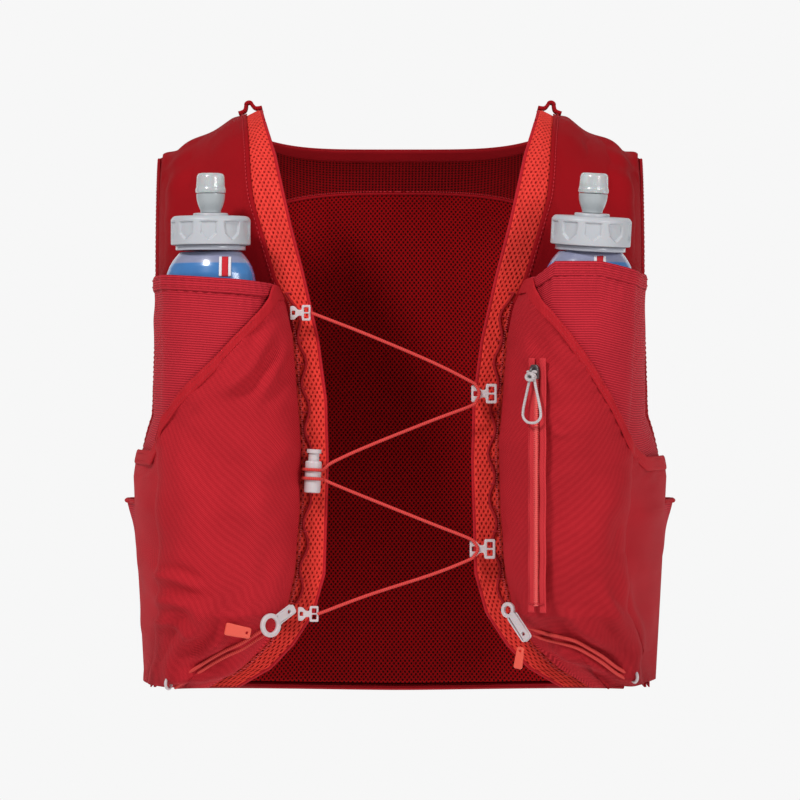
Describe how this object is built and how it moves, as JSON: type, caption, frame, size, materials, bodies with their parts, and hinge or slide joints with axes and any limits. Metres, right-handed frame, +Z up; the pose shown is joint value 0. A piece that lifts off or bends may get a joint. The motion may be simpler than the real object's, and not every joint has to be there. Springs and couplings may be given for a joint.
{
  "type": "hydration pack",
  "caption": "Running vest pack in red mesh and stretch fabric: chest pockets hold soft flasks with bite valves, a zip pocket, laced chest cord with lock, and pole hooks.",
  "frame": {"origin": "midpoint between the tops of the two shoulder straps, where the vest hangs on its wearer", "axes": "+Z up, the wearer faces -Y, +X to the right as seen from in front"},
  "size_m": [0.3652, 0.275, 0.3999],
  "materials": {
    "spacer_mesh_dark": "matt diamond-hole spacer mesh, dark red",
    "spacer_mesh_bright": "matt spacer mesh with open holes, bright red",
    "strap_fabric": "smooth stretch woven, deep crimson",
    "pocket_twill": "fine twill stretch woven, red",
    "pouch_stretch": "thin stretch knit, purplish red",
    "hem_elastic": "ribbed elastic hem, red",
    "binding_tape": "folded edge tape, red",
    "grey_label": "woven tab, grey",
    "red_cord": "braided cord, coral red",
    "white_cord": "braided cord, white",
    "coral_tab": "moulded soft tab, coral",
    "zip_tape_fabric": "woven zip tape, red",
    "zip_coil_nylon": "nylon coil, red",
    "slider_metal": "die-cast, dark satin",
    "white_acetal": "moulded acetal, warm white",
    "spring_steel": "drawn wire",
    "flask_film": "soft polyurethane film, clear above and blue below",
    "cap_grey": "moulded polypropylene, light grey",
    "collar_clear": "moulded polypropylene, pale grey",
    "seal_silicone": "silicone, white",
    "valve_silicone": "translucent silicone"
  },
  "bodies": {
    "vest": {"back_liner_mesh": "spacer_mesh_dark", "back_yoke_mesh": "spacer_mesh_dark", "back_compartment": "pocket_twill", "back_stash_pocket": "pocket_twill", "neck_binding": "binding_tape", "back_hem_binding": "binding_tape", "hem_tab": "grey_label", "shoulder_tabs": "binding_tape", "shoulder_strap_l": "strap_fabric", "shoulder_strap_r": "strap_fabric", "front_liner_l": "spacer_mesh_bright", "front_liner_r": "spacer_mesh_bright", "flask_pocket_l": "pouch_stretch", "flask_pocket_r": "pouch_stretch", "flask_pocket_hem_l": "hem_elastic", "flask_pocket_hem_r": "hem_elastic", "chest_pocket_l": "pocket_twill", "chest_pocket_r": "pocket_twill", "chest_pocket_hem_l": "hem_elastic", "chest_pocket_hem_r": "hem_elastic", "side_panel_l": "pocket_twill", "side_panel_r": "pocket_twill", "side_pocket_l": "pocket_twill", "side_pocket_r": "pocket_twill", "armhole_binding_l": "binding_tape", "armhole_binding_r": "binding_tape", "daisy_cord_l": "red_cord", "daisy_cord_r": "red_cord", "zip_tape": "zip_tape_fabric", "zip_coil": "zip_coil_nylon", "cord_lock_barrel": "white_acetal", "cord_lock_spring": "spring_steel", "chest_cord": "red_cord", "quick_hook_top_l": "white_acetal", "quick_hook_upper_r": "white_acetal", "quick_hook_lower_r": "white_acetal", "quick_hook_bottom_l": "white_acetal", "pole_hook_l": "white_acetal", "pole_hook_r": "white_acetal", "pole_cord_l": "red_cord", "pole_cord_r": "red_cord", "pole_cord_tabs": "coral_tab", "corner_rings": "white_acetal"},
    "flask_left": {"flask_l": "flask_film", "flask_collar_l": "collar_clear", "cap_seal_l": "seal_silicone"},
    "cap_left": {"flask_cap_l": "cap_grey"},
    "valve_left": {"bite_valve_body_l": "cap_grey", "bite_valve_tip_l": "valve_silicone"},
    "flask_right": {"flask_r": "flask_film", "flask_collar_r": "collar_clear", "cap_seal_r": "seal_silicone"},
    "cap_right": {"flask_cap_r": "cap_grey"},
    "valve_right": {"bite_valve_body_r": "cap_grey", "bite_valve_tip_r": "valve_silicone"},
    "zip_slider": {"zip_slider": "slider_metal"},
    "zip_pull": {"zip_pull_cord": "white_cord"},
    "lock_plunger": {"cord_lock_plunger": "white_acetal"}
  },
  "joints": [
    {"name": "flask_left_lift", "type": "slide", "parent": "vest", "child": "flask_left", "axis": [0, -0.0175, 0.9998], "range_m": [0, 0.2]},
    {"name": "flask_right_lift", "type": "slide", "parent": "vest", "child": "flask_right", "axis": [0.0523, -0.0697, 0.9962], "range_m": [0, 0.2]},
    {"name": "cap_left_turn", "type": "hinge", "parent": "flask_left", "child": "cap_left", "pos_m": [-0.119, -0.12158, -0.08803], "axis": [0, -0.0175, 0.9998], "range_deg": [0, 540]},
    {"name": "cap_right_turn", "type": "hinge", "parent": "flask_right", "child": "cap_right", "pos_m": [0.11913, -0.13678, -0.08878], "axis": [0.0523, -0.0697, 0.9962], "range_deg": [0, 540]},
    {"name": "valve_left_twist", "type": "hinge", "parent": "cap_left", "child": "valve_left", "pos_m": [-0.119, -0.1218, -0.07503], "axis": [0, -0.0175, 0.9998], "range_deg": [0, 90]},
    {"name": "valve_right_twist", "type": "hinge", "parent": "cap_right", "child": "valve_right", "pos_m": [0.11981, -0.13769, -0.07583], "axis": [0.0523, -0.0697, 0.9962], "range_deg": [0, 90]},
    {"name": "zip_slide", "type": "slide", "parent": "vest", "child": "zip_slider", "axis": [0, 0.02, -0.9998], "range_m": [0, 0.138]},
    {"name": "zip_pull_swing", "type": "hinge", "parent": "zip_slider", "child": "zip_pull", "pos_m": [0.08156, -0.15781, -0.1726], "axis": [-0.7431, 0.669, 0.0134], "range_deg": [0, 100]},
    {"name": "lock_press", "type": "slide", "parent": "vest", "child": "lock_plunger", "axis": [-0.0523, 0, -0.9986], "range_m": [0, 0.004], "stiffness_N_per_m": 900, "springref_m": -0.0015, "deforming": ["cord_lock_spring"]}
  ]
}
